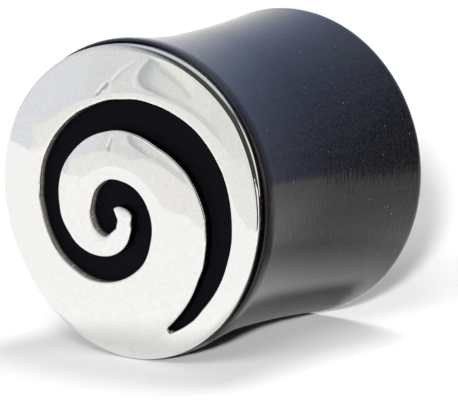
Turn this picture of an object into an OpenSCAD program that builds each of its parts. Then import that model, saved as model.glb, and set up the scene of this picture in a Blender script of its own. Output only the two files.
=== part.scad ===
// Horn ear stretcher: a horn plug turned with a shallow saddle between two flared lips,
// and a polished silver face that is pierced with a hand-cut spiral.
// Millimetres. The plug lies on its side with its axis along Y, as it rests by itself.
// The silver face looks towards -Y, and the lips touch the ground at Z = 0.

/* [Horn plug] */
// Diameter at the narrowest point of the saddle, the size that the plug is worn at
gauge_d = 16; // [12:0.5:20]
// Height of each flared lip above the saddle, on the radius
flare = 0.45; // [0.2:0.05:0.8]
// Length of the horn from one end face to the other
horn_len = 14.7; // [12:0.1:18]
// Distance of the narrowest point from the horn's silver end
waist_from_front = 6.2; // [5:0.1:7.5]
// How quickly the saddle rises into the lips: 2 is a plain arc, and less rises sooner
saddle_power = 1.9; // [1.5:0.1:3]
// Length of the lip at the silver end, which is rounded towards the silver
front_lip_len = 0.6; // [0.3:0.1:1]
// Length of the lip at the back end
back_lip_len = 0.4; // [0.3:0.1:1]
// How far the back lip's edge is rounded into the end face, on the radius
back_round = 0.25; // [0.1:0.05:0.5]

/* [Silver face] */
// How far the edge of the disc stays inside the lip, on the radius
disc_inset = 0.12; // [0.05:0.01:0.4]
// Thickness of the silver beside its rounded rim
sheet_t = 0.5; // [0.4:0.05:1]
// Height of the gentle crown that polishing leaves on the front, above the rim
crown = 0.16; // [0:0.02:0.4]
// Width of the rounded rim, on the radius
rim_round = 0.4; // [0.2:0.05:0.8]
// How far the rounded rim falls away from the front
rim_drop = 0.24; // [0.1:0.02:0.3]
// Thickness of the glue line between the silver and the horn
glue_gap = 0.02; // [0.01:0.01:0.05]

/* [Spiral slot] */
// Sideways place of the spiral's centre on the disc
spiral_x = -0.4; // [-0.6:0.05:0]
// Height of the spiral's centre on the disc, from the disc's own centre
spiral_z = -1.1; // [-1.3:0.05:-0.8]
// Turn angle at which the slot starts, near the rim
slot_start = -62; // [-64:1:-45]
// Turn angle at which the slot ends, round the hook in the middle
slot_end = 582; // [565:1:584]
// How far the hook in the middle juts into the slot as a beak
beak = 0.3; // [0:0.05:0.4]
// Turn angle at which the beak stands
beak_angle = 498; // [490:1:505]
// Angle between two points on the slot's edges
slot_step = 4; // [2:1:10]

/* [Hidden] */
$fn = 160;

waist_r = gauge_d / 2;
lip_r = waist_r + flare;
disc_r = lip_r - disc_inset;
crown_r = disc_r - rim_round;
silver_front = glue_gap + sheet_t + crown;
total_len = horn_len + silver_front;
horn_face_y = silver_front - total_len / 2;
cut_margin = 1;
saddle_steps = 28;
round_steps = 8;
crown_steps = 12;

// Columns: turn angle in degrees, inner edge and outer edge of the slot as a distance
// from the spiral's centre. The rows are 30 degrees apart, for a disc of table_disc_r.
// The turn starts at the lower right and goes anticlockwise, seen from the front.
table_disc_r = 8.33;
table_first = -90;
table_step = 30;
slot_edges = [
    [-90, 6.60, 6.15],
    [-60, 6.05, 6.45],
    [-30, 5.55, 6.65],
    [0, 5.35, 6.90],
    [30, 5.05, 7.05],
    [60, 4.70, 6.80],
    [90, 4.75, 6.40],
    [120, 4.75, 6.15],
    [150, 4.65, 5.95],
    [180, 4.15, 5.40],
    [210, 3.35, 4.70],
    [240, 2.40, 3.90],
    [270, 1.55, 3.10],
    [300, 0.90, 2.50],
    [330, 0.65, 2.05],
    [360, 0.55, 1.85],
    [390, 0.65, 1.80],
    [420, 0.65, 1.90],
    [450, 0.70, 2.05],
    [480, 0.80, 2.25],
    [510, 0.60, 2.25],
    [540, 0.40, 2.10],
    [570, 0.50, 1.70],
    [600, 0.85, 0.90]
];
INNER = 1;
OUTER = 2;
beak_spread = 9;

// Smooth curve through four values in a row, at the fraction t between the middle two
function smooth_between(a, b, c, d, t) =
    b + 0.5 * t * (c - a + t * (2 * a - 5 * b + 4 * c - d + t * (3 * (b - c) + d - a)));

// Height of the beak on the hook, which stands on the slot's inner edge only
function beak_h(angle, column) =
    column == INNER ? beak * exp(-pow((angle - beak_angle) / beak_spread, 2)) : 0;

// Distance of one edge of the slot from the spiral's centre, at any turn angle
function edge_r(angle, column) =
    let (place = (angle - table_first) / table_step,
         row = max(1, min(len(slot_edges) - 3, floor(place))))
    disc_r / table_disc_r * (beak_h(angle, column) + smooth_between(
        slot_edges[row - 1][column], slot_edges[row][column],
        slot_edges[row + 1][column], slot_edges[row + 2][column], place - row));

function edge_point(angle, column) =
    [spiral_x, spiral_z] + edge_r(angle, column) * [cos(angle), sin(angle)];

// Outline of the slot: out along its outer edge and back along its inner one
function slot_outline() = concat(
    [for (angle = [slot_start : slot_step : slot_end]) edge_point(angle, OUTER)],
    [edge_point(slot_end, OUTER), edge_point(slot_end, INNER)],
    [for (angle = [slot_end - slot_step : -slot_step : slot_start]) edge_point(angle, INNER)],
    [edge_point(slot_start, INNER)]
);

// Radius of the saddle at a distance from the silver end of the horn
function saddle_r(y) =
    let (reach = y < waist_from_front
            ? waist_from_front - front_lip_len
            : horn_len - back_lip_len - waist_from_front)
    waist_r + flare * pow(abs(y - waist_from_front) / reach, saddle_power);

// Half outline of the horn, as radius and distance from its silver end
function horn_outline() = concat(
    [[0, 0]],
    [for (i = [0 : round_steps])
        let (a = 90 * i / round_steps)
        [disc_r + disc_inset * sin(a), front_lip_len * (1 - cos(a))]],
    [for (i = [1 : saddle_steps])
        let (y = front_lip_len + (horn_len - back_lip_len - front_lip_len) * i / saddle_steps)
        [saddle_r(y), y]],
    [for (i = [1 : round_steps])
        let (a = 90 * i / round_steps)
        [lip_r - back_round * (1 - cos(a)), horn_len - back_lip_len * (1 - sin(a))]],
    [[0, horn_len]]
);

// Half outline of the silver disc, as radius and height above the horn's end face
function disc_outline() = concat(
    [[0, glue_gap], [disc_r, glue_gap]],
    [for (i = [0 : round_steps])
        let (a = 90 * i / round_steps)
        [crown_r + rim_round * cos(a), glue_gap + sheet_t - rim_drop * (1 - sin(a))]],
    [for (i = [1 : crown_steps])
        let (r = crown_r * (1 - i / crown_steps))
        [r, glue_gap + sheet_t + crown * (1 - pow(r / crown_r, 2))]]
);

// Lays a shape that is drawn on the end face, with its height along +Z, on the plug's axis
module on_end_face() {
    translate([0, horn_face_y, lip_r])
        rotate([90, 0, 0])
            children();
}

module horn_plug() {
    color("#2b2c33")
        on_end_face()
            mirror([0, 0, 1])
                rotate_extrude()
                    polygon(horn_outline());
}

module silver_face() {
    color("#e4e6e6")
        on_end_face()
            difference() {
                rotate_extrude()
                    polygon(disc_outline());
                translate([0, 0, glue_gap - cut_margin])
                    linear_extrude(sheet_t + crown + 2 * cut_margin)
                        polygon(slot_outline());
            }
}

horn_plug();
silver_face();
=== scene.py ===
"""Horn ear stretcher: a turned plug of polished dark horn with a silver face, pierced with a
hand-cut spiral. The plug lies on its side on a pale table and is seen from its silver end.

The plug is drawn in millimetres on its own end face, with x to the right, y up and the height
towards the viewer, and is then laid along the frame's Y axis in metres.
"""
import logging
import math
from dataclasses import dataclass, field
from enum import IntEnum
from functools import cached_property
from typing import Any

import bmesh
import bpy
import numpy as np
from bmesh.types import BMEdge, BMesh, BMVert
from bpy.types import Material, Node, NodeSocket, NodeTree, Object
from mathutils import Matrix, Vector, noise
from mathutils.kdtree import KDTree


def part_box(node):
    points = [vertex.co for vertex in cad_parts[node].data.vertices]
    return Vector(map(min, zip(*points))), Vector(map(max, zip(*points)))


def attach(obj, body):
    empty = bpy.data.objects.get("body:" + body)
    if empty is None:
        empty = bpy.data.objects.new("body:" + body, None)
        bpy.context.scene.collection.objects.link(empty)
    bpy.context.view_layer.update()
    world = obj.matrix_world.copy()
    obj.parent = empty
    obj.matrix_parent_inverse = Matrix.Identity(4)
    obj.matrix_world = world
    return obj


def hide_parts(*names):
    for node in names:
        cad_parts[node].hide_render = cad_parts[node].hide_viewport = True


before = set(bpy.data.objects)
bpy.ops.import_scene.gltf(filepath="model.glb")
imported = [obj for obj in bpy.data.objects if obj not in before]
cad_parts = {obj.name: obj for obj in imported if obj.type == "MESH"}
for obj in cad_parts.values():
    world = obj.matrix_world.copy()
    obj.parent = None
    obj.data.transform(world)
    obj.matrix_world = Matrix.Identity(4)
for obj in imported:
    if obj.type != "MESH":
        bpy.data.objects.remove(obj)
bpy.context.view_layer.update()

MM = 0.001
TINY = 1e-9
PHOTO_WIDTH = 458
CARD_TOP = 17.0
FINE_DETAIL = 3.0
log = logging.getLogger("horn ear stretcher")

Array = np.ndarray
Span = tuple[float, float]
Pairs = tuple[Span, ...]
Triple = tuple[float, float, float]
Colours = tuple[tuple[float, str], ...]
Edges = list[BMEdge]

# Directions in the frame: straight up, and to the window that the polish mirrors
UP: Triple = (0.0, 0.0, 1.0)
WINDOW: Triple = (-0.574, 0.819, 0.0)


class HornZone(IntEnum):
    """Zones of the horn by their finish, in material slot order."""

    BODY = 0
    END = 1


class SilverZone(IntEnum):
    """Zones of the silver by their finish, in material slot order."""

    FACE = 0
    SAWN = 1
    # A darker copy of the sawn finish: painted shade on the slot's inner walls, and the darker side
    # of the rim.
    DARK_EDGE = 2


def linear(hex_colour: str) -> tuple[float, float, float, float]:
    """Turns an sRGB hex colour into the linear values that shaders use.

    Args:
        hex_colour: six hex digits, such as "efeeea".

    Returns:
        Linear red, green and blue, and an alpha of 1.
    """
    channels = (int(hex_colour[i:i + 2], 16) / 255 for i in (0, 2, 4))
    return (*(c / 12.92 if c <= 0.04045 else ((c + 0.055) / 1.055) ** 2.4 for c in channels), 1.0)


def add_node(
    tree: NodeTree, kind: str, inputs: dict[str | int, Any] | None = None, **settings: Any
) -> Node:
    """Adds a node with its settings, its values and its links.

    Args:
        tree: the node tree that gets the node.
        kind: the node's type name.
        inputs: by socket name or number, a value for the socket or the socket that feeds it.
        settings: attributes of the node itself.

    Returns:
        The new node.
    """
    node = tree.nodes.new(kind)
    for name, value in settings.items():
        setattr(node, name, value)
    for name, value in (inputs or {}).items():
        if isinstance(value, NodeSocket):
            tree.links.new(value, node.inputs[name])
        else:
            node.inputs[name].default_value = value
    return node


class Blank:
    """A material in the making, with patterns that lie in the piece's own place."""

    def __init__(self, name: str) -> None:
        """Starts an empty node material, named for its finish."""
        self.material = bpy.data.materials.new(name)
        self.material.use_nodes = True
        self.tree = self.material.node_tree
        self.tree.nodes.clear()

    @cached_property
    def place(self) -> NodeSocket:
        """Gives the place on the piece."""
        return add_node(self.tree, "ShaderNodeTexCoord").outputs["Object"]

    def lumps(
        self, size_mm: float | Triple, detail: float = 2.0, fade: Span = (0.0, 1.0),
        turn: float = 0.0, roughness: float = 0.5, ease: str = "LINEAR",
    ) -> NodeSocket:
        """Makes an uneven pattern of soft lumps.

        Args:
            size_mm: a lump's real size in millimetres, along each axis or the same along all.
            detail: how many finer layers the lumps have.
            fade: levels of the lumps that come out as 0 and 1.
            turn: angle in degrees by which the lumps are turned about the plug's axis.
            roughness: how strong the finer layers are.
            ease: the Map Range node's way from 0 to 1.

        Returns:
            A socket with the pattern, from 0 to 1.
        """
        laid = add_node(self.tree, "ShaderNodeMapping", {
            "Vector": self.place, "Rotation": (0.0, math.radians(turn), 0.0),
            "Scale": tuple(1 / (np.broadcast_to(size_mm, 3) * MM))}).outputs[0]
        level = add_node(self.tree, "ShaderNodeTexNoise", {
            "Vector": laid, "Scale": 1.0, "Detail": detail, "Roughness": roughness}).outputs["Fac"]
        return add_node(self.tree, "ShaderNodeMapRange", {
            "Value": level, "From Min": fade[0], "From Max": fade[1]},
            interpolation_type=ease).outputs[0]

    def coat(
        self,
        colour: str,
        layers: tuple[tuple[NodeSocket, str], ...],
        relief: tuple[NodeSocket, float, float],
        inputs: dict[str, Any],
    ) -> Material:
        """Coats the material with layers of colour and a shallow relief.

        Args:
            colour: hex colour at the bottom.
            layers: the share and the hex colour of each layer, from the bottom up.
            relief: a socket with its height, its strength and its depth in millimetres.
            inputs: the Principled shader's other values and links.

        Returns:
            The finished material.
        """
        below: Any = linear(colour)
        for share, above in layers:
            below = add_node(self.tree, "ShaderNodeMix", {
                "Factor": share, 6: below, 7: linear(above)}, data_type="RGBA").outputs[2]
        height, strength, depth = relief
        bump = add_node(self.tree, "ShaderNodeBump", {
            "Height": height, "Strength": strength, "Distance": depth * MM}).outputs[0]
        return self.close("ShaderNodeBsdfPrincipled", {"Base Color": below, "Normal": bump, **inputs})

    def close(self, kind: str, inputs: dict[str, Any]) -> Material:
        """Gives the material a shader node of this kind as its surface, and returns it."""
        add_node(self.tree, "ShaderNodeOutputMaterial", {
            "Surface": add_node(self.tree, kind, inputs).outputs[0]})
        return self.material


def direction(azimuth: float, elevation: float = 0.0) -> Vector:
    """Gives the unit vector towards an azimuth, counted from the front, and an elevation."""
    turn, lift = math.radians(azimuth), math.radians(elevation)
    return Vector((math.sin(turn) * math.cos(lift), -math.cos(turn) * math.cos(lift),
                   math.sin(lift)))


def add_object(name: str, data: bpy.types.ID) -> Object:
    """Puts a new object with this data in the scene, at the origin."""
    bpy.context.scene.collection.objects.link(item := bpy.data.objects.new(name, data))
    return item


def add_mesh(bm: BMesh, name: str, materials: list[Material]) -> Object:
    """Makes an object of a finished bmesh.

    Args:
        bm: the mesh, in the frame's metres. It is freed.
        name: the object's name.
        materials: a material for each number that the faces carry.

    Returns:
        The object.
    """
    mesh = bpy.data.meshes.new(name)
    bm.to_mesh(mesh)
    bm.free()
    for material in materials:
        mesh.materials.append(material)
    return add_object(name, mesh)


@dataclass
class PlugSizes:
    """Sizes of the whole plug in millimetres, read from the frame or repeated from the part."""

    lip_r: float = 0.0
    horn_len: float = 0.0
    horn_face_y: float = 0.0
    disc_r: float = 0.0
    saddle_r: float = 8.0
    waist_from_front: float = 6.2
    saddle_power: float = 1.9
    front_lip_len: float = 0.6
    front_round: float = 0.26
    back_lip_len: float = 0.4
    back_round: float = 0.25
    sheet_t: float = 0.5
    crown: float = 0.16
    glue_gap: float = 0.02

    def __post_init__(self) -> None:
        """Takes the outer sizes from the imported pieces."""
        horn_low, horn_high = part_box("horn_plug")
        silver_low, silver_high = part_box("silver_face")
        self.lip_r = horn_high.x / MM
        self.horn_len = (horn_high.y - horn_low.y) / MM
        self.horn_face_y = horn_low.y / MM
        self.disc_r = silver_high.x / MM

    def to_frame(self) -> Matrix:
        """Gives the matrix from the end face's millimetres to the frame's metres."""
        place = Matrix.Translation((0.0, self.horn_face_y, self.lip_r))
        return Matrix.Scale(MM, 4) @ place @ Matrix.Rotation(math.radians(90), 4, "X")


def finish_mesh(
    bm: BMesh, name: str, sizes: PlugSizes, materials: list[Material], sharp_from: float
) -> Object:
    """Lays a finished bmesh on the plug's axis and makes it an object.

    Args:
        bm: the mesh on the end face, in millimetres. It is freed.
        name: the piece's name.
        sizes: the plug's sizes.
        materials: one material for each zone number in the faces.
        sharp_from: angle in degrees between two faces from which their edge stays sharp.

    Returns:
        The object, at the origin, unturned and unscaled.
    """
    bmesh.ops.recalc_face_normals(bm, faces=bm.faces)
    for face in bm.faces:
        face.smooth = True
    for edge in bm.edges:
        edge.smooth = len(edge.link_faces) != 2 or edge.calc_face_angle() < math.radians(sharp_from)
    bmesh.ops.transform(bm, matrix=sizes.to_frame(), verts=bm.verts)
    return add_mesh(bm, name, materials)


@dataclass(frozen=True)
class PolishedHorn:
    """Water buffalo horn, turned and buffed: near black and glossy, with faint lengthwise
    streaks, a brown grain, drawn as coarse as it needs to show, and a few pale specks. Shallow
    turning marks fray what it mirrors. Beside the silver, polishing compound dulls and stains it."""

    lip_y: float
    back_y: float
    name: str = "polished buffalo horn"
    dark: str = "0b0c10"
    streak: str = "151415"
    streak_mm: Triple = (0.35, 9.0, 0.35)
    streak_fade: Span = (0.45, 0.75)
    streak_roughness: float = 0.6
    grain: str = "2a2827"
    grain_mm: float = 0.10
    grain_fade: Span = (0.45, 0.80)
    speck: str = "5c5f66"
    speck_mm: float = 0.45
    speck_share: float = 0.10
    speck_reach: Span = (0.04, 0.14)
    stain: str = "150d08"
    stain_mm: float = 1.6
    roughness: float = 0.13
    dull_roughness: float = 0.24
    dull_mm: Span = (0.20, 0.65)
    ior: float = 1.54
    turning_mm: Triple = (0.5, 0.22, 0.5)
    turning_strength: float = 0.5
    turning_depth_mm: float = 0.019
    back_mm: float = 0.5

    def build(self) -> Material:
        """Makes the material.

        Returns:
            The material.
        """
        blank = Blank(self.name)
        tree = blank.tree
        streaks = blank.lumps(self.streak_mm, FINE_DETAIL, self.streak_fade,
                              roughness=self.streak_roughness, ease="SMOOTHSTEP")
        grain = blank.lumps(self.grain_mm, fade=self.grain_fade)
        cells = add_node(tree, "ShaderNodeTexVoronoi", {
            "Vector": blank.place, "Scale": 1 / (self.speck_mm * MM)}).outputs
        chance = add_node(tree, "ShaderNodeSeparateColor", {"Color": cells["Color"]}).outputs["Red"]
        rare = add_node(tree, "ShaderNodeMath", {
            0: chance, 1: 1 - self.speck_share}, operation="GREATER_THAN").outputs[0]
        specks = add_node(tree, "ShaderNodeMapRange", {
            "Value": cells["Distance"], "From Min": self.speck_reach[1],
            "From Max": self.speck_reach[0], "To Max": rare}).outputs[0]
        depth = add_node(tree, "ShaderNodeSeparateXYZ", {"Vector": blank.place}).outputs["Y"]
        dull = add_node(tree, "ShaderNodeMapRange", {
            "Value": depth, "From Min": (self.lip_y + self.dull_mm[1]) * MM,
            "From Max": (self.lip_y + self.dull_mm[0]) * MM},
            interpolation_type="SMOOTHSTEP").outputs[0]
        stained = add_node(tree, "ShaderNodeMath", {
            0: dull, 1: blank.lumps(self.stain_mm, FINE_DETAIL)}, operation="MULTIPLY").outputs[0]
        roughness = add_node(tree, "ShaderNodeMapRange", {
            "Value": dull, "To Min": self.roughness, "To Max": self.dull_roughness}).outputs[0]
        marks = add_node(tree, "ShaderNodeMapRange", {
            "Value": depth, "From Min": self.back_y * MM,
            "From Max": (self.back_y - self.back_mm) * MM,
            "To Max": blank.lumps(self.turning_mm)}).outputs[0]
        return blank.coat(
            self.dark,
            ((streaks, self.streak), (grain, self.grain), (specks, self.speck),
             (stained, self.stain)),
            (marks, self.turning_strength, self.turning_depth_mm),
            {"Roughness": roughness, "IOR": self.ior})


@dataclass(frozen=True)
class SawnHorn:
    """The horn's flat end under the silver: sawn and left unpolished, so that it is matt and
    nearly black, darker than the polished horn as painted shade in the slot, with a faint bluish
    grain that is partly painted sheen."""

    name: str = "dark horn end"
    dark: str = "020203"
    dust_and_sheen: str = "08090d"
    roughness: float = 0.6
    specular: float = 0.05
    grain_mm: float = 0.25
    grain_detail: float = 4.0
    grain_strength: float = 0.4
    grain_depth_mm: float = 0.02

    def build(self) -> Material:
        """Makes the material.

        Returns:
            The material.
        """
        blank = Blank(self.name)
        grain = blank.lumps(self.grain_mm, self.grain_detail)
        # Painted shade: the base is darker than the polished horn's. The bluish lumps are grain and
        # painted sheen.
        return blank.coat(
            self.dark, ((grain, self.dust_and_sheen),), (grain, self.grain_strength, self.grain_depth_mm),
            {"Roughness": self.roughness, "Specular IOR Level": self.specular})


@dataclass(frozen=True)
class MirrorSilver:
    """Sterling silver, buffed by hand to a mirror: a clear reflection with a faint warm tint,
    slightly mottled by the buff, with a few softening smudges and barely visible scratches.
    Mottle and scratches are drawn coarser than real ones, so that they show."""

    name: str = "buffed sterling silver"
    colour: str = "eeedeb"
    mottle: str = "e5e4e1"
    mottle_mm: float = 0.17
    mottle_fade: Span = (0.45, 0.80)
    roughness: float = 0.02
    smudge_roughness: float = 0.05
    smudge_mm: float = 2.5
    smudge_fade: Span = (0.4, 0.8)
    scratch_mm: Triple = (0.09, 2.2, 2.2)
    scratch_angle: float = 35.0
    scratch_strength: float = 0.05
    scratch_depth_mm: float = 0.002

    def build(self) -> Material:
        """Makes the material.

        Returns:
            The material.
        """
        blank = Blank(self.name)
        mottle = blank.lumps(self.mottle_mm, fade=self.mottle_fade)
        scratches = blank.lumps(self.scratch_mm, turn=self.scratch_angle)
        roughness = add_node(blank.tree, "ShaderNodeMapRange", {
            "Value": blank.lumps(self.smudge_mm, FINE_DETAIL, self.smudge_fade),
            "To Min": self.roughness, "To Max": self.smudge_roughness}).outputs[0]
        return blank.coat(
            self.colour, ((mottle, self.mottle),),
            (scratches, self.scratch_strength, self.scratch_depth_mm),
            {"Metallic": 1.0, "Roughness": roughness})


@dataclass(frozen=True)
class SawnSilver:
    """A cut edge of the silver: left rough by the saw and browned by tarnishing, so that it
    scatters light in part and shows bare metal in streaks through the sheet. The streaks are
    drawn as coarse as they need to show. Towards the horn it turns darker: painted shade at its foot."""

    horn_y: float
    name: str = "saw-cut silver"
    wall_colour: str = "807a70"
    bare: str = "e4e0d8"
    bare_fade: Span = (0.55, 0.75)
    metallic: float = 0.5
    roughness: float = 0.42
    stroke_mm: Triple = (0.07, 0.8, 0.07)
    stroke_strength: float = 0.8
    stroke_depth_mm: float = 0.02
    foot_shade: str = "0c0a09"
    foot_shade_mm: Span = (0.02, 0.33)

    def build(self) -> Material:
        """Makes the material.

        Returns:
            The material.
        """
        blank = Blank(self.name)
        depth = add_node(blank.tree, "ShaderNodeSeparateXYZ", {"Vector": blank.place}).outputs["Y"]
        # Painted shade: the cut wall turns darker towards the horn, at the foot of the cut.
        shaded_foot = add_node(blank.tree, "ShaderNodeMapRange", {
            "Value": depth, "From Min": (self.horn_y - self.foot_shade_mm[1]) * MM,
            "From Max": (self.horn_y - self.foot_shade_mm[0]) * MM},
            interpolation_type="SMOOTHSTEP").outputs[0]
        bared = blank.lumps(self.stroke_mm, FINE_DETAIL, self.bare_fade)
        return blank.coat(
            self.wall_colour, ((bared, self.bare), (shaded_foot, self.foot_shade)),
            (blank.lumps(self.stroke_mm, FINE_DETAIL), self.stroke_strength, self.stroke_depth_mm),
            {"Metallic": self.metallic, "Roughness": self.roughness})


@dataclass
class SpiralSlot:
    """Outline of the sawn spiral, in millimetres from the disc's centre.

    edges has a row for each 30 degrees of turn, with the inner and the outer edge's distance
    from the spiral's own centre, as in the part's source.
    """

    centre: Span = (-0.4, -1.1)
    start: float = -62.0
    end: float = 582.0
    first_row: float = -90.0
    row_step: float = 30.0
    beak: float = 0.3
    beak_angle: float = 498.0
    beak_spread: float = 9.0
    point_step: float = 1.0
    facet_mm: float = 0.9
    facet_spread: Span = (0.6, 1.5)
    facet_depth: float = 0.035
    facet_seed: int = 7
    least_width: float = 0.02
    edges: Pairs = (
        (6.60, 6.15), (6.05, 6.45), (5.55, 6.65), (5.35, 6.90), (5.05, 7.05), (4.70, 6.80),
        (4.75, 6.40), (4.75, 6.15), (4.65, 5.95), (4.15, 5.40), (3.35, 4.70), (2.40, 3.90),
        (1.55, 3.10), (0.90, 2.50), (0.65, 2.05), (0.55, 1.85), (0.65, 1.80), (0.65, 1.90),
        (0.70, 2.05), (0.80, 2.25), (0.60, 2.25), (0.40, 2.10), (0.50, 1.70), (0.85, 0.90),
    )

    def edge_r(self, angle: Array, outer: bool) -> Array:
        """Finds an edge's distance from the spiral's centre.

        Args:
            angle: turn angles in degrees.
            outer: whether the outer edge is wanted, or else the inner one.

        Returns:
            Distances in millimetres.
        """
        table = np.array(self.edges)[:, int(outer)]
        place = (angle - self.first_row) / self.row_step
        row = np.clip(np.floor(place).astype(int), 1, len(table) - 3)
        t = place - row
        a, b, c, d = (table[row + k] for k in (-1, 0, 1, 2))
        smooth = b + 0.5 * t * (c - a + t * (2 * a - 5 * b + 4 * c - d + t * (3 * (b - c) + d - a)))
        knots, offsets = self.facets[int(outer)]
        smooth = smooth + np.interp(angle, knots, offsets)
        if outer:
            return smooth
        return smooth + self.beak * np.exp(-((angle - self.beak_angle) / self.beak_spread) ** 2)

    def __post_init__(self) -> None:
        """Draws the short straight strokes of the hand saw along both edges."""
        self.facets: list[tuple[Array, Array]] = []
        table = np.array(self.edges)
        rows = self.first_row + self.row_step * np.arange(len(table))
        rng = np.random.default_rng(self.facet_seed)
        for column in (0, 1):
            knots = [self.start]
            while knots[-1] < self.end:
                radius = np.interp(knots[-1], rows, table[:, column])
                stroke = self.facet_mm * rng.uniform(*self.facet_spread)
                knots.append(knots[-1] + math.degrees(stroke / max(radius, self.facet_mm)))
            offsets = rng.uniform(-self.facet_depth, self.facet_depth, len(knots))
            self.facets.append((np.array(knots), offsets))

    def reach(self, shrink: float) -> Span:
        """Gives the first and the last turn angle of the slot, shrunk by a length."""
        ends = np.array([self.start, self.end])
        first, last = np.degrees(shrink / self.edge_r(ends, True))
        return self.start + first, self.end - last

    def walls(self, angle: Array, shrink: float) -> tuple[Array, Array]:
        """Gives both edges' distances from the centre, inner and outer, shrunk by a length."""
        outer = self.edge_r(angle, True) - shrink
        return np.minimum(self.edge_r(angle, False) + shrink, outer - self.least_width), outer

    def outline(self, shrink: float) -> tuple[Array, Array]:
        """Walks round the slot once, out along its outer edge and back along its inner one.

        Args:
            shrink: how far inside the slot's true edge the outline runs, in millimetres.

        Returns:
            The corners, a row each, and whether each one is on the outer edge.
        """
        first, last = self.reach(shrink)
        angle = np.linspace(first, last, round((last - first) / self.point_step) + 1)
        inner, outer = self.walls(angle, shrink)
        around = np.radians(np.concatenate([angle, angle[::-1]]))
        reach = np.concatenate([outer, inner[::-1]])[:, None]
        corners = np.array(self.centre) + reach * np.stack([np.cos(around), np.sin(around)], 1)
        return corners, np.arange(len(corners)) < len(angle)

    def inside(self, points: Array, shrink: float) -> Array:
        """Tells which points lie in the slot.

        Args:
            points: places on the face in millimetres, a row each.
            shrink: how far inside its true edge the slot is taken to begin.

        Returns:
            A truth value for each point.
        """
        first, last = self.reach(shrink)
        arm = points - np.array(self.centre)
        reach = np.hypot(arm[:, 0], arm[:, 1])
        turn = np.degrees(np.arctan2(arm[:, 1], arm[:, 0]))
        found = np.zeros(len(points), dtype=bool)
        for angle in (turn, turn + 360, turn + 720):
            inner, outer = self.walls(angle, shrink)
            found |= (angle > first) & (angle < last) & (reach > inner) & (reach < outer)
        return found

    def measure(self, points: Array, shrink: float) -> tuple[Array, Array, Array]:
        """Measures points against the slot.

        Args:
            points: places on the face in millimetres, a row each.
            shrink: how far inside its true edge the measured outline runs, which rounds the
                corners that jut into the silver.

        Returns:
            The distance to the slot's true edge, negative inside it, the unit direction in which
            it grows, and whether the nearest edge is the outer one.
        """
        corners, on_outer = self.outline(shrink)
        tree = KDTree(len(corners))
        for i, (x, y) in enumerate(corners):
            tree.insert((x, y, 0.0), i)
        tree.balance()
        near = np.array([tree.find((x, y, 0.0))[1] for x, y in points])
        from_corner = points - corners[near]
        gap = from_corner.copy()
        for other in (near - 1, (near + 1) % len(corners)):
            step = corners[other] - corners[near]
            t = (from_corner * step).sum(1) / np.maximum((step ** 2).sum(1), TINY)
            trial = from_corner - np.clip(t, 0, 1)[:, None] * step
            closer = (trial ** 2).sum(1) < (gap ** 2).sum(1)
            gap[closer] = trial[closer]
        length = np.hypot(gap[:, 0], gap[:, 1])
        side = np.where(self.inside(points, shrink), -1.0, 1.0)
        away = gap / np.maximum(length, TINY)[:, None] * side[:, None]
        return side * length - shrink, away, on_outer[near]


@dataclass
class EdgeDistances:
    """Distances of points to the silver's edges, negative off the silver.

    away is the unit direction that leads from the nearer edge into the silver, and outer tells
    whether the slot's nearest edge is its outer one.
    """

    to_slot: Array
    to_rim: Array
    outer: Array
    away: Array

    @property
    def nearest(self) -> Array:
        """Gives the distance to the nearer of the two edges."""
        return np.minimum(self.to_slot, self.to_rim)


@dataclass
class HornPlug:
    """The horn: a solid of revolution with a shallow saddle between two lips."""

    sizes: PlugSizes
    turns: int = 288
    saddle_steps: int = 72
    round_steps: int = 10
    sharp_from: float = 50.0
    weld: float = 1e-5
    end_margin: float = 0.001

    def saddle(self, y: float) -> float:
        """Gives the saddle's radius at a distance from the silver end."""
        s = self.sizes
        to_lip = (s.waist_from_front - s.front_lip_len if y < s.waist_from_front
                  else s.horn_len - s.back_lip_len - s.waist_from_front)
        rise = (abs(y - s.waist_from_front) / to_lip) ** s.saddle_power
        return s.saddle_r + (s.lip_r - s.saddle_r) * rise

    def half_outline(self) -> list[Span]:
        """Draws the half outline from the middle of the silver end to that of the back end.

        Returns:
            Radius and distance from the silver end for each point.
        """
        s = self.sizes
        angles = np.radians(np.linspace(0, 90, self.round_steps + 1))
        steps = np.linspace(s.front_lip_len, s.horn_len - s.back_lip_len, self.saddle_steps + 1)
        lip_round = s.lip_r - s.disc_r
        points = [(0.0, 0.0)]
        points += [(s.disc_r + lip_round * math.sin(a), s.front_round * (1 - math.cos(a)))
                   for a in angles]
        points.append((s.lip_r, s.front_lip_len))
        points += [(self.saddle(y), y) for y in steps[1:]]
        points += [(s.lip_r - s.back_round * (1 - math.cos(a)),
                    s.horn_len - s.back_lip_len * (1 - math.sin(a))) for a in angles[1:]]
        return points + [(0.0, s.horn_len)]

    def build(self) -> Object:
        """Spins the half outline into the plug.

        Returns:
            The horn, dressed in its two finishes.
        """
        bm = bmesh.new()
        verts = [bm.verts.new((r, 0.0, -y)) for r, y in self.half_outline()]
        edges = [bm.edges.new(pair) for pair in zip(verts, verts[1:])]
        bmesh.ops.spin(bm, geom=verts + edges, axis=UP, angle=math.radians(360), steps=self.turns,
                       use_merge=True)
        bmesh.ops.remove_doubles(bm, verts=bm.verts, dist=self.weld)
        for face in bm.faces:
            middle = face.calc_center_median()
            at_end = middle.z > -self.end_margin and middle.xy.length < self.sizes.disc_r
            face.material_index = HornZone.END if at_end else HornZone.BODY
        front, length = self.sizes.horn_face_y, self.sizes.horn_len
        materials = [PolishedHorn(front, front + length).build(), SawnHorn().build()]
        return finish_mesh(bm, "horn_body", self.sizes, materials, self.sharp_from)


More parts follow.
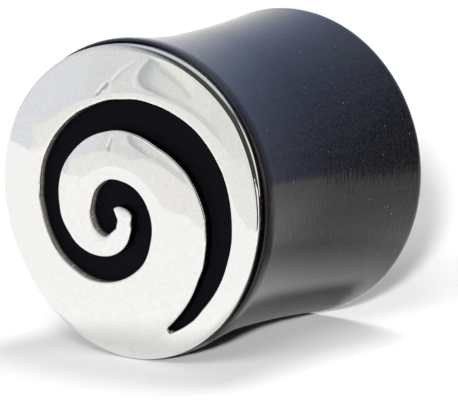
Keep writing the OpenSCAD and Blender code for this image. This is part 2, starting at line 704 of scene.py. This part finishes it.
@dataclass
class SilverFace:
    """The silver: a thin disc, slightly bent by hand work, with the spiral sawn out of it.

    Its front starts as a fine grid, which is cut along the slot and the rim. The cut edges are
    then drawn down over a small rounding and on to the horn. Lengths are in millimetres. The
    relief terms are heights at relief_r from the middle: crown is the dome, bow lifts the top
    and bottom over the sides, twist lifts two opposite quarters, and the last three bend the
    upper half further. The rim's rounding has a usual size and the size where it is worn most.
    """

    sizes: PlugSizes
    slot: SpiralSlot = field(default_factory=SpiralSlot)
    cell: float = 0.07
    edge_round: float = 0.08
    slot_soften: float = 0.06
    round_steps: int = 5
    wall_steps: int = 3
    relief_r: float = 8.0
    crown: float = 0.04
    bow: float = 0.08
    twist: float = 0.08
    side_lift: float = 0.08
    top_lift: float = 0.056
    corner_lift: float = 0.08
    buff_outer: Span = (0.031, 1.05)
    buff_inner: Span = (0.022, 0.93)
    rim_round: Span = (0.26, 0.45)
    rim_drop: Span = (0.10, 0.28)
    worn_angle: float = 55.0
    worn_cos: Span = (0.5, 0.95)
    rim_gap: float = 0.01
    snap: float = 0.3
    lobe: float = 0.10
    lobe_angle: float = 165.0
    wave_height: float = 0.0004
    wave_mm: float = 1.2
    headroom: float = 0.006
    sharp_from: float = 60.0

    def rim_r(self, angle: Array) -> Array:
        """Gives the hand-filed rim's radius, a little three-sided, at angles in radians."""
        mean = self.sizes.disc_r - self.rim_gap
        return mean + self.lobe * np.cos(3 * (angle - math.radians(self.lobe_angle)))

    def wear(self, points: Array) -> Array:
        """Gives how worn the rim is beside points, from 0 to 1."""
        angle = np.arctan2(points[:, 1], points[:, 0]) - math.radians(self.worn_angle)
        return smooth_step(np.cos(angle), *self.worn_cos)

    def edge_distances(self, points: Array) -> EdgeDistances:
        """Measures how far points lie inside the silver.

        Args:
            points: places on the face in millimetres, a row each.

        Returns:
            Their distances to the slot and the rim.
        """
        to_slot, from_slot, outer = self.slot.measure(points, self.slot_soften)
        reach = np.hypot(points[:, 0], points[:, 1])
        to_rim = self.rim_r(np.arctan2(points[:, 1], points[:, 0])) - reach
        from_rim = -points / np.maximum(reach, TINY)[:, None]
        away = np.where((to_slot < to_rim)[:, None], from_slot, from_rim)
        return EdgeDistances(to_slot, to_rim, outer, away)

    def front_height(self, points: Array, edges: EdgeDistances) -> Array:
        """Gives the height of the front over the horn's end.

        Args:
            points: places on the face, a row each.
            edges: their distances to the slot and the rim.

        Returns:
            Heights in millimetres.
        """
        s = self.sizes
        x, z = points.T / self.relief_r
        height = self.crown * (1 - x * x - z * z) + self.bow * (z * z - x * x)
        height += x * z * (self.side_lift * x - self.twist + self.corner_lift * z * z)
        height += self.top_lift * z ** 3
        for is_outer, (depth, width) in ((True, self.buff_outer), (False, self.buff_inner)):
            buffed = 1 - np.clip(edges.to_slot / width, 0, 1)
            height -= depth * buffed ** 2 * (edges.outer == is_outer)
        worn = self.wear(points)
        rim_round, rim_drop = (low + (high - low) * worn
                               for low, high in (self.rim_round, self.rim_drop))
        for to_edge, width, drop in ((edges.to_rim, rim_round, rim_drop),
                                     (edges.to_slot, self.edge_round, self.edge_round)):
            near = 1 - np.clip(to_edge / width, 0, 1)
            height -= drop * (1 - np.sqrt(1 - near ** 2))
        waves = [noise.noise((a / self.wave_mm, b / self.wave_mm, 0.0)) for a, b in points]
        top = s.glue_gap + s.sheet_t + s.crown - self.headroom
        peak = self.bow + self.top_lift
        return top - peak + height + self.wave_height * np.array(waves)

    def cut_grid(self, bm: BMesh) -> None:
        """Makes the flat front: a grid cut just inside the slot's edges and the rim.

        Args:
            bm: an empty bmesh that gets the front.
        """
        half = self.sizes.disc_r + self.lobe
        count = round(2 * half / self.cell)
        bmesh.ops.create_grid(bm, x_segments=count, y_segments=count, size=half)
        verts = list(bm.verts)
        inside = self.settle(verts, snap=self.snap * self.cell)
        sign = dict(zip(verts, inside))
        crossing = [e for e in bm.edges if sign[e.verts[0]] * sign[e.verts[1]] < 0]
        cuts = []
        for edge in crossing:
            a, b = edge.verts
            _, vert = bmesh.utils.edge_split(edge, a, sign[a] / (sign[a] - sign[b]))
            cuts.append(vert)
        self.settle(cuts, snap=self.cell)
        sign.update((vert, 0.0) for vert in cuts)
        bmesh.ops.connect_verts(bm, verts=[v for v in bm.verts if sign[v] == 0.0])
        outside = [f for f in bm.faces if min(sign[v] for v in f.verts) < 0]
        bmesh.ops.delete(bm, geom=outside, context="FACES")

    def settle(self, verts: list[BMVert], snap: float) -> Array:
        """Moves the vertices near the cut line onto it.

        Args:
            verts: vertices of the flat front.
            snap: how near the cut line a vertex has to be to move onto it.

        Returns:
            How far each vertex then lies inside the cut line, exactly 0 on it.
        """
        points = np.array([v.co.xy for v in verts])
        edges = self.edge_distances(points)
        inside = edges.nearest - self.edge_round
        near = np.abs(inside) < snap
        points[near] -= edges.away[near] * inside[near][:, None]
        for vert, point in zip(verts, points):
            vert.co.xy = point
        inside[near] = 0.0
        return inside

    def draw_down(self, bm: BMesh, loop: Edges, inset: float) -> Edges:
        """Extrudes the open edges outwards to a distance from the silver's true edge.

        Args:
            bm: the silver so far.
            loop: its open edges.
            inset: how far inside the true edge the new edges lie.

        Returns:
            The new open edges.
        """
        verts, new_loop = extrude_loop(bm, loop)
        points = np.array([v.co.xy for v in verts])
        edges = self.edge_distances(points)
        points -= edges.away * (edges.nearest - inset)[:, None]
        heights = self.front_height(points, self.edge_distances(points))
        for vert, point, height in zip(verts, points, heights):
            vert.co = (*point, height)
        return new_loop

    def build(self) -> Object:
        """Makes the silver with its rounded edges, slot walls and back.

        Returns:
            The silver, dressed in its three finishes.
        """
        bm = bmesh.new()
        self.cut_grid(bm)
        verts = list(bm.verts)
        points = np.array([v.co.xy for v in verts])
        for vert, height in zip(verts, self.front_height(points, self.edge_distances(points))):
            vert.co.z = height
        loop = [e for e in bm.edges if e.is_boundary]
        for i in range(1, self.round_steps + 1):
            turn = math.radians(90 * i / self.round_steps)
            loop = self.draw_down(bm, loop, self.edge_round * (1 - math.sin(turn)))
        polished = set(bm.faces)
        back = self.sizes.glue_gap
        for i in range(1, self.wall_steps + 1):
            verts, loop = extrude_loop(bm, loop)
            for vert in verts:
                vert.co.z += (back - vert.co.z) / (self.wall_steps + 1 - i)
        bmesh.ops.triangle_fill(bm, edges=loop, use_beauty=False, normal=(0, 0, -1))
        cut = [face for face in bm.faces if face not in polished]
        edges = self.edge_distances(np.array([face.calc_center_median().xy for face in cut]))
        # Outer slot walls get the sawn finish. The rim's side and the inner slot walls get its darker
        # copy, which on the inner walls is painted shade.
        for face, sawn in zip(cut, edges.outer & (edges.to_slot < edges.to_rim)):
            face.material_index = SilverZone.SAWN if sawn else SilverZone.DARK_EDGE
        horn_y = self.sizes.horn_face_y
        dark_edge = SawnSilver(horn_y, "dark silver edge", "382e25", "a8a298", metallic=1.0)
        materials = [MirrorSilver().build(), SawnSilver(horn_y).build(), dark_edge.build()]
        return finish_mesh(bm, "silver_disc", self.sizes, materials, self.sharp_from)


def extrude_loop(bm: BMesh, loop: Edges) -> tuple[list[BMVert], Edges]:
    """Extrudes open edges in place.

    Args:
        bm: the mesh.
        loop: its open edges.

    Returns:
        The new vertices and the new open edges, which are still in the old ones' place.
    """
    made = bmesh.ops.extrude_edge_only(bm, edges=loop)["geom"]
    verts = [item for item in made if isinstance(item, BMVert)]
    new = set(verts)
    edges = {e for v in verts for e in v.link_edges if e.other_vert(v) in new}
    return verts, sorted(edges, key=lambda e: e.index)


@dataclass
class PhotoCamera:
    """The camera, turned round the middle of the plug's silver end at the photograph's angle."""

    sizes: PlugSizes
    azimuth: float = 35.40
    elevation: float = 10.53
    distance: float = 218.6
    aside: float = 4.92
    above: float = -0.33
    focal_px: float = 4184.0
    clip: Span = (0.01, 20.0)

    def build(self) -> None:
        """Sets the camera up and makes it the scene's own."""
        back, right = direction(self.azimuth, self.elevation), direction(self.azimuth + 90)
        up = back.cross(right)
        middle = Vector((0.0, self.sizes.horn_face_y, self.sizes.lip_r))
        data = bpy.data.cameras.new("camera")
        data.lens = self.focal_px * data.sensor_width / PHOTO_WIDTH
        data.clip_start, data.clip_end = self.clip
        camera = add_object("camera", data)
        place = middle + back * self.distance + right * self.aside + up * self.above
        camera.matrix_world = Matrix.Translation(place * MM) @ Matrix(
            (right, up, back)).transposed().to_4x4()
        bpy.context.scene.camera = camera


@dataclass(frozen=True)
class Card:
    """A glowing card that only the polish sees, shaded from one long edge to the other.

    Each edge is a row of places on the card's plane in millimetres, as many as on the other.
    """

    name: str
    edge: Pairs
    far_edge: Pairs
    glow: str
    far_glow: str
    in_front: float = 0.0


def block(left: float, right: float, low: float = 0, high: float = CARD_TOP) -> tuple[Pairs, Pairs]:
    """Gives the left and the right edge of an upright card."""
    return ((left, low), (left, high)), ((right, low), (right, high))


def stage_for_polish(bm: BMesh, name: str) -> None:
    """Puts a mesh in the studio that glows in its tint and that only mirrored light sees.

    Args:
        bm: the mesh, in the frame's metres, with its colours in the layer "tint". It is freed.
        name: the object's name.
    """
    blank = Blank(f"{name} glow")
    tint = add_node(blank.tree, "ShaderNodeAttribute", attribute_name="tint")
    glow = blank.close("ShaderNodeEmission", {"Color": tint.outputs["Color"]})
    piece = add_mesh(bm, name, [glow])
    piece.visible_camera = piece.visible_diffuse = piece.visible_shadow = False


@dataclass
class TableShade:
    """A glowing sheet just over the table that only the polish sees: a painted reflection of the
    table at the right of the plug, where the room is dark.

    by_azimuth and by_reach give its brightness beside the open table's, and the shade fades in
    over fade_in from the plug's middle. Past the reach in edge_by_azimuth the table has ended
    and the dark room of beyond_by_azimuth shows. Beside the plug, a darker band paints the plug's
    shadow on the mirrored ground under the saddle. Azimuths are in degrees and lengths in
    millimetres.
    """

    height: float = 0.02
    near: float = 2.0
    far: float = 5900.0
    rings: int = 110
    spokes: int = 60
    fade_in: Span = (6.0, 17.0)
    by_azimuth: Pairs = (
        (36, 1.0), (46, 0.35), (58, 0.12), (122, 0.12), (129, 0.44), (134, 0.45),
        (140, 0.67), (146, 0.78), (156, 0.84), (172, 1.0), (180, 1.0))
    by_reach: Pairs = (
        (15, 1.0), (17, 1.35), (20, 1.3), (26, 1.18), (40, 1.06), (70, 0.88), (130, 0.80))
    edge_by_azimuth: Pairs = ((120, 48.0), (132, 60.0), (140, 130.0), (148, 900.0))
    edge_blur: float = 0.22
    beyond_by_azimuth: Colours = ((132, "282a2e"), (144, "565c75"))
    shadow_band: float = 0.25
    shadow_band_side: Span = (4.8, 6.2)
    shadow_band_back: Span = (7.8, 9.2)

    def share(self, azimuth: float, reach: float) -> float:
        """Gives the brightness at a place on the table, beside that of the open table."""
        fan = read_off(self.by_azimuth, azimuth) * read_off(self.by_reach, reach)
        fan = 1 - (1 - fan) * smooth_step(reach, *self.fade_in)
        x, y, _ = direction(azimuth) * reach
        # Painted shadow of the plug on the mirrored ground under the saddle.
        open_air = max(smooth_step(x, *self.shadow_band_side), smooth_step(y, *self.shadow_band_back))
        return fan * (self.shadow_band + (1 - self.shadow_band) * open_air)

    def past_edge(self, azimuth: float, reach: float) -> float:
        """Tells from 0 to 1 how far a place lies past the end of the bright table."""
        past = math.log(reach / read_off(self.edge_by_azimuth, azimuth))
        return smooth_step(past, -self.edge_blur, self.edge_blur)

    def build(self) -> None:
        """Lays the shade on the table."""
        bm = bmesh.new()
        bmesh.ops.create_grid(bm, x_segments=self.rings, y_segments=self.spokes, size=1.0)
        layer = bm.verts.layers.float_color.new("tint")
        first, last = self.by_azimuth[0][0], self.by_azimuth[-1][0]
        azimuths = [azimuth for azimuth, _ in self.beyond_by_azimuth]
        rooms = [linear(colour) for _, colour in self.beyond_by_azimuth]
        for vert in bm.verts:
            out, along = (vert.co.x + 1) / 2, (vert.co.y + 1) / 2
            reach = self.near * (self.far / self.near) ** out
            azimuth = first + (last - first) * along
            share, past = self.share(azimuth, reach), self.past_edge(azimuth, reach)
            darks = (np.interp(azimuth, azimuths, values) for values in zip(*rooms))
            vert[layer] = [share + (min(share, dark) - share) * past for dark in darks]
            vert.co = (direction(azimuth) * reach + Vector(UP) * self.height) * MM
        stage_for_polish(bm, "table_shade")


def read_off(table: Pairs, place: float) -> float:
    """Reads the value at a place off a table of places and values."""
    return float(np.interp(place, *zip(*table)))


def smooth_step(value: Any, low: float, high: float) -> Any:
    """Rises smoothly from 0 at low to 1 at high, for a number or an array."""
    t = np.clip((value - low) / (high - low), 0, 1)
    return t * t * (3 - 2 * t)


# Edges that two of the screen's cards share
PATCH_FOLD: Pairs = (
    (2.1, 3.4), (1.4, 3.9), (1.0, 4.6), (0.95, 5.3), (0.95, 5.9), (0.9, 6.15), (0.95, 6.36),
    (1.15, 6.54), (1.5, 6.70), (2.0, 6.85))
SLANT: Pairs = ((1.8, 6.8), (2.5, 6.5), (3.6, 6.22), (4.8, 5.9), (6.0, 5.5))
BEND: Pairs = ((-2.2, 5.5), (-1.9, 5.98), (-1.46, 6.28), (-0.8, 6.54), (0.1, 6.79))


@dataclass
class Screen:
    """The standing cards at the front left, where the flat of the silver looks.

    Places on them are millimetres along the screen and above the table.
    """

    sizes: PlugSizes
    distance: float = 46.7
    toward: float = -35.4
    turned: float = 9.7
    cards: tuple[Card, ...] = (
        Card("card_far_left", *block(-160, -14), "ebeef4", "ebeef4"),
        Card("card_left", *block(-14, -6), "ebeef5", "e9ecf0"),
        Card("card_left_end", *block(-6, -3.6), "e9ecf0", "e4e6e7"),
        Card("card_middle", *block(-3.6, 0), "e6e7e8", "e8e8e8"),
        Card("card_right", *block(0, 12), "e4e5e5", "edeeed"),
        Card("card_far_right", *block(12, 32), "edeeed", "edeeed"),
        Card("dark_post", *block(32, 41), "383a38", "383a38"),
        Card("low_band",
             ((-12.3, 0), (0, 0), (4, 0), (8, 0), (32, 0)),
             ((-12.3, 2.1), (0, 2.3), (4, 3.0), (8, 3.3), (32, 3.6)), "faf9f6", "f6f6f4", 0.3),
        Card("patch",
             ((1.5, 3.4), (0.55, 3.9), (0.28, 4.6), (0.3, 5.3), (0.36, 5.9), (0.3, 6.15),
              (0.37, 6.36), (0.58, 6.54), (1.05, 6.76), (1.8, 6.95)),
             PATCH_FOLD, "b4bbbe", "c2c7cb", 0.2),
        Card("patch_middle", PATCH_FOLD,
             ((3.6, 3.4), (3.3, 3.9), (3, 4.6), (2.3, 5.3), (2.1, 5.9), (2.1, 6.15),
              (2.2, 6.36), (2.3, 6.54), (2.4, 6.62), (2.6, 6.7)), "c2c7cb", "e3e4e4", 0.2),
        Card("patch_end",
             ((3.6, 3.4), (3, 4.6), (2.3, 5.3), (2.1, 5.9), (2.3, 6.54)),
             ((8, 3.4), (8, 4.6), (8, 5.3), (8, 5.9), (8, 6.2)), "e3e4e4", "f2f2f0", 0.2),
        Card("light_corner", SLANT,
             ((2.4, 9), (4, 12), (6, 15), (9, 17), (14, 17)), "f8f8f0", "f4f4f0", 0.25),
        Card("slanting_line", SLANT,
             ((1.8, 6.7), (2.5, 6.4), (3.6, 6.12), (4.8, 5.8), (6, 5.4)), "bec2bf", "c6cac7", 0.4),
        Card("low_shade", *block(3.4, 9, 3.2, 4.6), "dcdedd", "e2e3e3", 0.25),
        Card("dark_slit",
             ((-2.8, 2.3), (-2.57, 5.3)), ((-2.46, 2.3), (-2.33, 5.3)), "9fa2a5", "b0b2b4", 0.5),
        Card("white_line",
             ((-2.46, 2.0), (-2.33, 5.4)), ((-2.16, 2.0), (-2.1, 5.4)), "ffffff", "f4f4f4", 0.5),
        Card("left_line",
             ((-3.15, 3.0), (-2.95, 5.3), (-2.4, 5.84)),
             ((-2.8, 3.0), (-2.6, 5.3), (-2.25, 5.62)), "ffffff", "ffffff", 0.5),
        Card("white_bend",
             ((-2.4, 5.6), (-2.12, 6.1), (-1.63, 6.4), (-0.95, 6.63), (0, 6.85)),
             BEND, "ffffff", "f6f6f8", 0.5),
        Card("bend_shade", BEND,
             ((-2.05, 5.45), (-1.75, 5.9), (-1.34, 6.2), (-0.7, 6.46), (0.2, 6.72)),
             "cccdd0", "dcdddf", 0.5),
        Card("second_line",
             ((-0.15, 3.9), (-0.12, 5), (-0.04, 5.8), (0.05, 6.15), (0.28, 6.44), (0.72, 6.68),
              (1.3, 6.9)),
             ((0.1, 3.9), (0.15, 5), (0.24, 5.8), (0.3, 6.15), (0.44, 6.37), (0.82, 6.61),
              (1.4, 6.84)), "fcfcfc", "f6f6f6", 0.5),
        Card("faint_line",
             ((-1.15, 5.3), (-0.9, 5.6)), ((-0.6, 3.9), (-0.45, 4.1)), "f2f2f2", "f2f2f2", 0.5),
    )

    def build(self) -> None:
        """Stands the cards on the table."""
        foot = direction(self.toward) * self.distance
        foot.y += self.sizes.horn_face_y
        side, back = direction(self.turned + 90), direction(self.turned + 180)
        for card in self.cards:
            bm = bmesh.new()
            layer = bm.verts.layers.float_color.new("tint")
            start = foot + back * card.in_front
            rows = []
            for edge, glow in ((card.edge, card.glow), (card.far_edge, card.far_glow)):
                rows.append([bm.verts.new((start + side * u + Vector(UP) * w) * MM)
                             for u, w in edge])
                for vert in rows[-1]:
                    vert[layer] = linear(glow)
            near, far = rows
            for corners in zip(near, far, far[1:], near[1:]):
                bm.faces.new(corners)
            stage_for_polish(bm, card.name)


@dataclass(frozen=True)
class Lamp:
    """A far, round, soft light. Its direction and its width are in degrees."""

    name: str
    azimuth: float
    elevation: float
    width: float
    strength: float

    def build(self) -> None:
        """Hangs the lamp so that it faces the plug. The polish doesn't mirror it."""
        data = bpy.data.lights.new(self.name, "SUN")
        data.angle, data.energy = math.radians(self.width), self.strength
        lamp = add_object(self.name, data)
        lamp.location = direction(self.azimuth, self.elevation)
        lamp.rotation_euler = lamp.location.to_track_quat("Z", "Y").to_euler()
        lamp.visible_glossy = False


@dataclass(frozen=True)
class Glow:
    """A colour that fills a part of the mirrored room.

    Each lobe has a direction and two cosines of the angle from it, at which the colour is gone
    and full. The colour shows where all the lobes overlap.
    """

    colour: str
    lobes: tuple[tuple[Triple, float, float], ...]
    blend: str = "MIX"


@dataclass
class Studio:
    """The pale table, whose half width is in metres, the soft light and the room around."""

    sizes: PlugSizes
    floor_half: float = 6.0
    window_stops: Colours = (
        (0.0, "484e49"), (0.15, "303843"), (0.25, "465670"), (0.33, "69769c"), (0.45, "8192bc"),
        (0.60, "97a8ce"), (0.75, "aabce7"), (0.88, "c5d5f9"), (0.96, "edf1ff"), (1.0, "ffffff"))
    glows: tuple[Glow, ...] = (
        Glow("eee0de", ((UP, 0.50, 0.10), (WINDOW, 0.75, 0.45)), "MULTIPLY"),
        Glow("e1e3e7", (((-0.966, -0.259, 0.0), 0.55, 0.85),)),
        Glow("d5dade", ((UP, 0.64, 0.86),)),
        Glow("f0efea", (((0.936, -0.082, 0.342), 0.88, 0.94),)),
    )
    paper: str = "f4f4f4"
    ambient: float = 0.04
    plain: str = "ffffff"
    lamps: tuple[Lamp, ...] = (
        Lamp("top", -175, 70, 24, 1.35),
        Lamp("front", 20, 38, 26, 1.35),
        Lamp("low", 30.2, 15, 3.5, 5.70),
    )

    def floor(self) -> None:
        """Lays the table."""
        bm = bmesh.new()
        bmesh.ops.create_grid(bm, x_segments=1, y_segments=1, size=self.floor_half)
        paper = Blank("matt white table").close(
            "ShaderNodeBsdfDiffuse", {"Color": linear(self.paper)})
        add_mesh(bm, "table", [paper])

    def surroundings(self) -> None:
        """Shades the room that the polish mirrors: a bluish window behind, dark in front."""
        world = bpy.data.worlds.new("room")
        bpy.context.scene.world = world
        world.use_nodes = True
        tree = world.node_tree
        tree.nodes.clear()
        toward = add_node(tree, "ShaderNodeTexCoord").outputs["Generated"]
        facing = add_node(tree, "ShaderNodeVectorMath", {
            0: toward, 1: WINDOW}, operation="DOT_PRODUCT").outputs["Value"]
        ramp = add_node(tree, "ShaderNodeValToRGB", {"Fac": facing})
        stops = ramp.color_ramp.elements
        while len(stops) < len(self.window_stops):
            stops.new(1.0)
        for stop, (place, colour) in zip(stops, self.window_stops):
            stop.position, stop.color = place, linear(colour)
        shown = ramp.outputs["Color"]
        for glow in self.glows:
            share: Any = 1.0
            for middle, gone, full in glow.lobes:
                facing = add_node(tree, "ShaderNodeVectorMath", {
                    0: toward, 1: middle}, operation="DOT_PRODUCT").outputs["Value"]
                share = add_node(tree, "ShaderNodeMapRange", {
                    "Value": facing, "From Min": gone, "From Max": full, "To Max": share},
                    interpolation_type="SMOOTHSTEP").outputs[0]
            shown = add_node(tree, "ShaderNodeMix", {
                "Factor": share, 6: shown, 7: linear(glow.colour)},
                data_type="RGBA", blend_type=glow.blend).outputs[2]
        rays = add_node(tree, "ShaderNodeLightPath").outputs
        shown = add_node(tree, "ShaderNodeMix", {
            "Factor": rays["Is Glossy Ray"], 6: (*[self.ambient] * 3, 1.0), 7: shown},
            data_type="RGBA").outputs[2]
        shown = add_node(tree, "ShaderNodeMix", {
            "Factor": rays["Is Camera Ray"], 6: shown, 7: linear(self.plain)},
            data_type="RGBA").outputs[2]
        room = add_node(tree, "ShaderNodeBackground", {"Color": shown})
        add_node(tree, "ShaderNodeOutputWorld", {"Surface": room.outputs[0]})

    def build(self) -> None:
        """Sets up the table, the lights and the room, and shows colours as they are."""
        self.floor()
        for lamp in self.lamps:
            lamp.build()
        Screen(self.sizes).build()
        TableShade().build()
        self.surroundings()
        bpy.context.scene.view_settings.view_transform = "Standard"


def dress(piece: Object, node: str) -> None:
    """Ties a finished piece to the frame.

    Args:
        piece: the piece.
        node: the CAD node that it stands for.
    """
    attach(piece, "root")
    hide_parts(node)
    log.info("%s: %d faces", piece.name, len(piece.data.polygons))


def main() -> None:
    """Builds the camera, the plug and the studio."""
    logging.basicConfig(level=logging.INFO, format="%(name)s: %(message)s")
    sizes = PlugSizes()
    PhotoCamera(sizes).build()
    dress(HornPlug(sizes).build(), "horn_plug")
    dress(SilverFace(sizes).build(), "silver_face")
    Studio(sizes).build()


if __name__ == "__main__":
    main()
